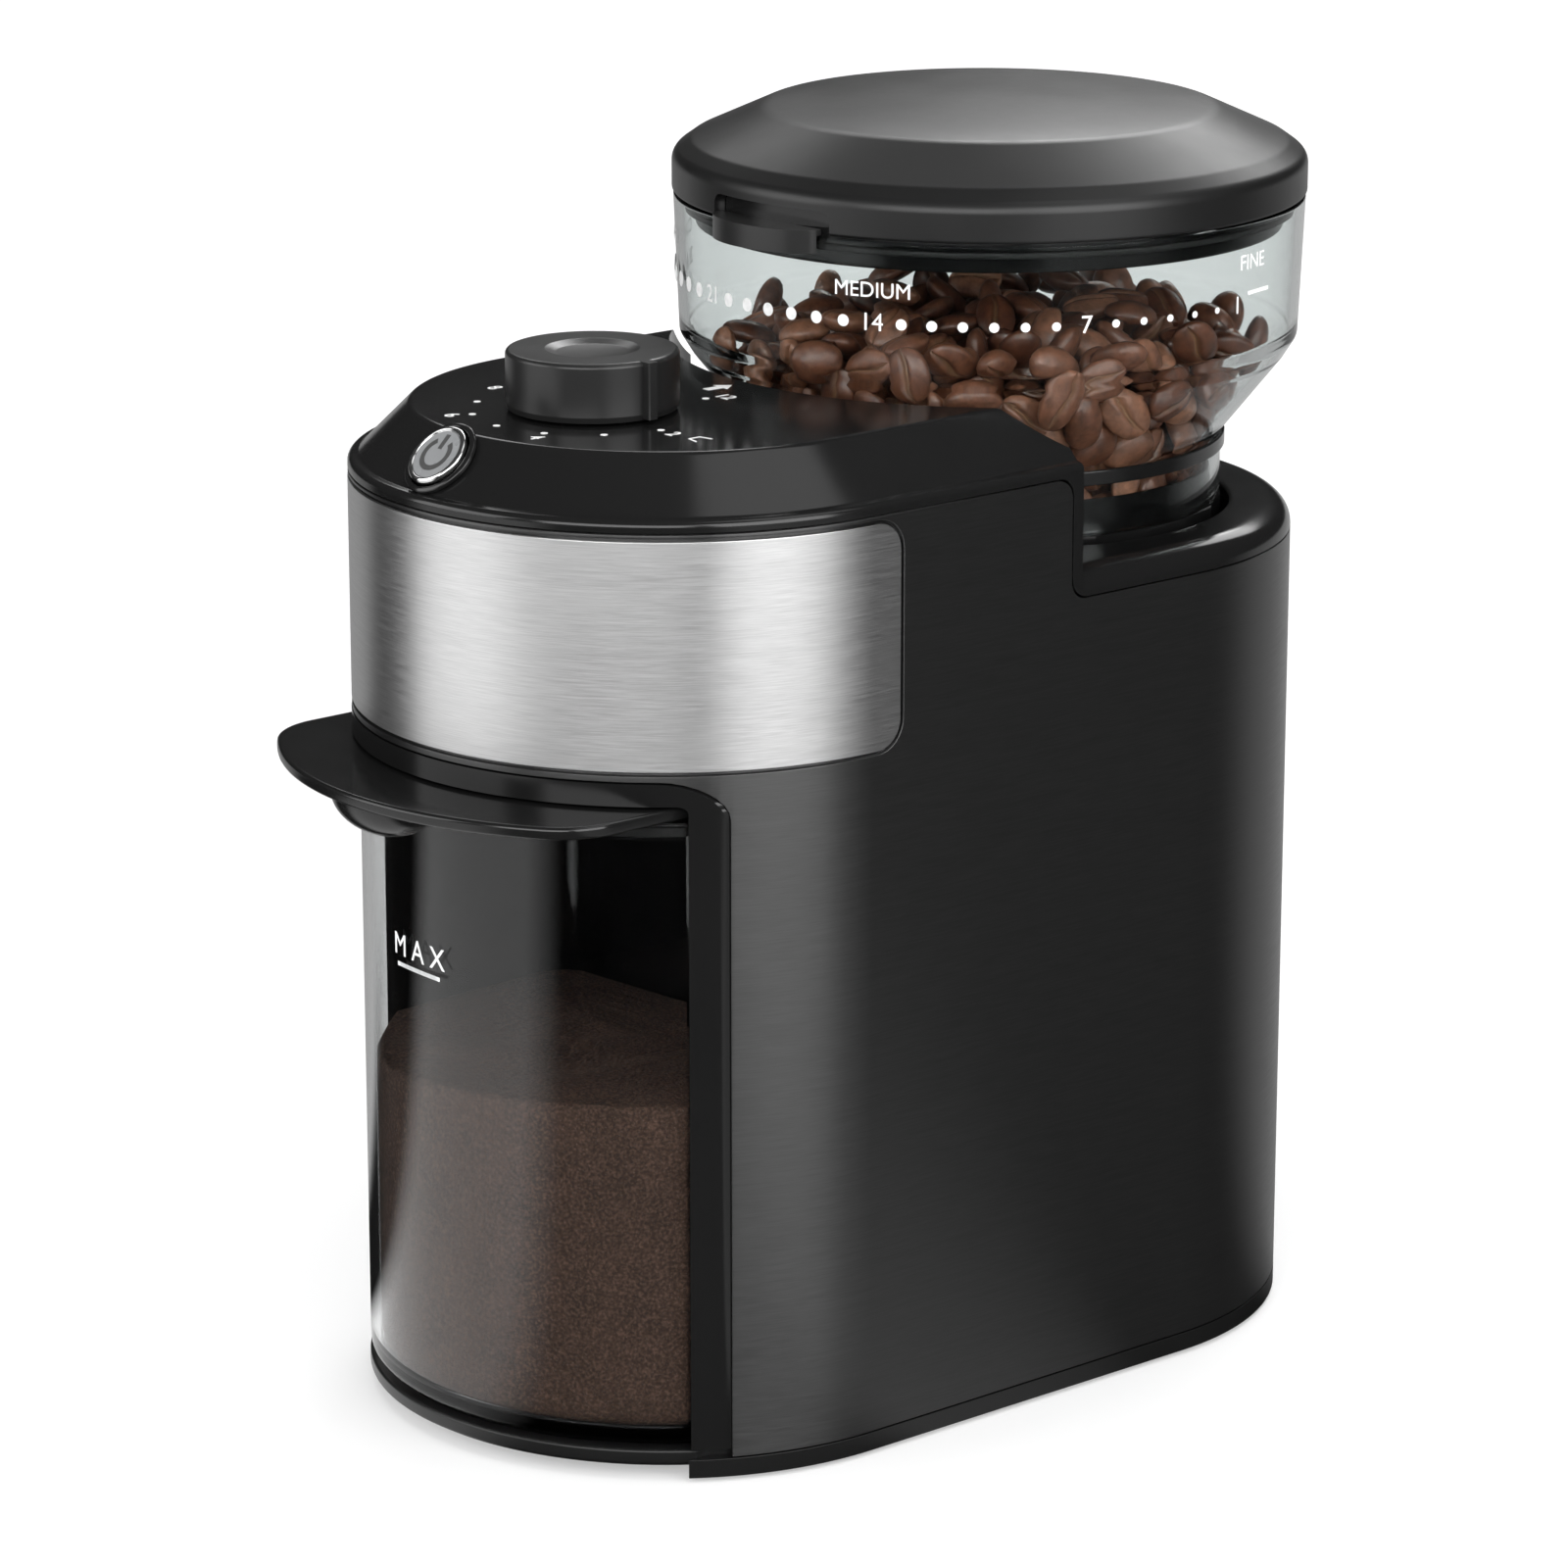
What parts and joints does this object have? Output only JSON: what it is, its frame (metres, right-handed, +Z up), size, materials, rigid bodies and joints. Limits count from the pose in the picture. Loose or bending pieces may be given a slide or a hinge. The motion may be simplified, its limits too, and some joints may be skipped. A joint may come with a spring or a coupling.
{
  "type": "burr coffee grinder",
  "caption": "Upright electric burr coffee grinder with a clear hopper, a turning grind scale, an amount knob and a clear slide-out grounds container.",
  "frame": {"origin": "on the worktop, under the middle of the object's box", "axes": "+Z up, -Y towards the front where the container slides out, +X to the right seen from the front"},
  "size_m": [0.134, 0.237, 0.2635],
  "materials": {
    "brushed_black": "black, finely brushed, satin",
    "gloss_black": "moulded, polished",
    "satin_black": "moulded, satin",
    "clear_plastic": "clear, polished",
    "brushed_steel": "brushed level",
    "burr_steel": "hardened, ground",
    "zinc_steel": "zinc plated",
    "silver": "metallised, satin",
    "rubber": "moulded",
    "nylon": "moulded, natural",
    "grey_plastic": "moulded, fine grain",
    "circuit_board": "solder mask",
    "print_white": "screen print",
    "coffee": "roasted coffee, contents shown and not part of the row"
  },
  "bodies": {
    "housing": {"base_tray": "satin_black", "side_shell": "brushed_black", "front_band": "brushed_steel", "bay_frame": "gloss_black", "top_cover": "gloss_black", "cord_gland": "rubber", "foot_1": "rubber", "foot_2": "rubber", "foot_3": "rubber", "foot_4": "rubber", "base_screw_1": "zinc_steel", "base_screw_2": "zinc_steel", "base_screw_3": "zinc_steel", "base_screw_4": "zinc_steel", "selector_switch": "grey_plastic", "control_board": "circuit_board", "board_screw_1": "zinc_steel", "board_screw_2": "zinc_steel", "button_ring": "gloss_black", "power_switch": "grey_plastic", "grind_chamber": "grey_plastic", "chute": "grey_plastic", "spindle_bearing_top": "zinc_steel", "spindle_bearing_bottom": "zinc_steel", "gearbox_case": "grey_plastic", "gearbox_cover": "grey_plastic", "motor_can": "zinc_steel", "motor_end_bell": "grey_plastic", "motor_screw_1": "zinc_steel", "motor_screw_2": "zinc_steel", "motor_cradle": "rubber", "pillar_1": "zinc_steel", "pillar_2": "zinc_steel", "power_board": "circuit_board", "capacitor": "grey_plastic", "bin_switch": "grey_plastic"},
    "amount_knob": {"knob": "gloss_black", "selector_shaft": "nylon"},
    "start_button": {"power_button": "silver"},
    "grind_ring": {"adjusting_ring": "grey_plastic"},
    "bean_hopper": {"hopper": "clear_plastic", "hopper_band": "rubber", "hopper_base_ring": "gloss_black"},
    "hopper_lid": {"lid_cap": "satin_black", "lid_tab": "gloss_black", "lid_plug": "gloss_black", "lid_seal": "rubber"},
    "upper_burr_carrier": {"burr_carrier": "grey_plastic", "upper_burr": "burr_steel"},
    "lower_burr_drive": {"spindle": "burr_steel", "drive_gear": "nylon", "lower_burr": "burr_steel", "burr_plate": "grey_plastic", "burr_nut": "zinc_steel"},
    "motor_rotor": {"armature": "burr_steel", "pinion": "burr_steel"},
    "grounds_container": {"container": "clear_plastic", "container_lid": "gloss_black", "container_seal": "rubber"}
  },
  "joints": [
    {"name": "grind_setting_turn", "type": "hinge", "parent": "housing", "child": "grind_ring", "pos_m": [0, 0.0515, 0], "axis": [0, 0, 1], "range_deg": [-98.1, 49.05]},
    {"name": "hopper_lift", "type": "slide", "parent": "grind_ring", "child": "bean_hopper", "axis": [0, 0, 1], "range_m": [0, 0.03]},
    {"name": "hopper_lid_lift", "type": "slide", "parent": "bean_hopper", "child": "hopper_lid", "axis": [0, 0, 1], "range_m": [0, 0.025]},
    {"name": "upper_burr_travel", "type": "slide", "parent": "housing", "child": "upper_burr_carrier", "axis": [0, 0, 1], "range_m": [-0.0008, 0.0004]},
    {"name": "motor_spin", "type": "hinge", "parent": "housing", "child": "motor_rotor", "pos_m": [0, 0.01775, 0], "axis": [0, 0, 1], "continuous": true},
    {"name": "burr_spin", "type": "hinge", "parent": "housing", "child": "lower_burr_drive", "pos_m": [0, 0.0515, 0], "axis": [0, 0, 1], "continuous": true},
    {"name": "container_slide", "type": "slide", "parent": "housing", "child": "grounds_container", "axis": [0, -1, 0], "range_m": [0, 0.085]},
    {"name": "amount_knob_turn", "type": "hinge", "parent": "housing", "child": "amount_knob", "pos_m": [0, -0.0555, 0.22], "axis": [0, 0, 1], "range_deg": [-280, 0]},
    {"name": "start_button_press", "type": "slide", "parent": "housing", "child": "start_button", "axis": [0, 0.7071, -0.7071], "range_m": [0, 0.0015], "stiffness_N_per_m": 800, "springref_m": -0.001}
  ],
  "couplings": [
    {"joint": "upper_burr_travel", "follows": "grind_setting_turn", "m_per_rad": 0.0004},
    {"joint": "burr_spin", "follows": "motor_spin", "ratio": -0.28571}
  ]
}
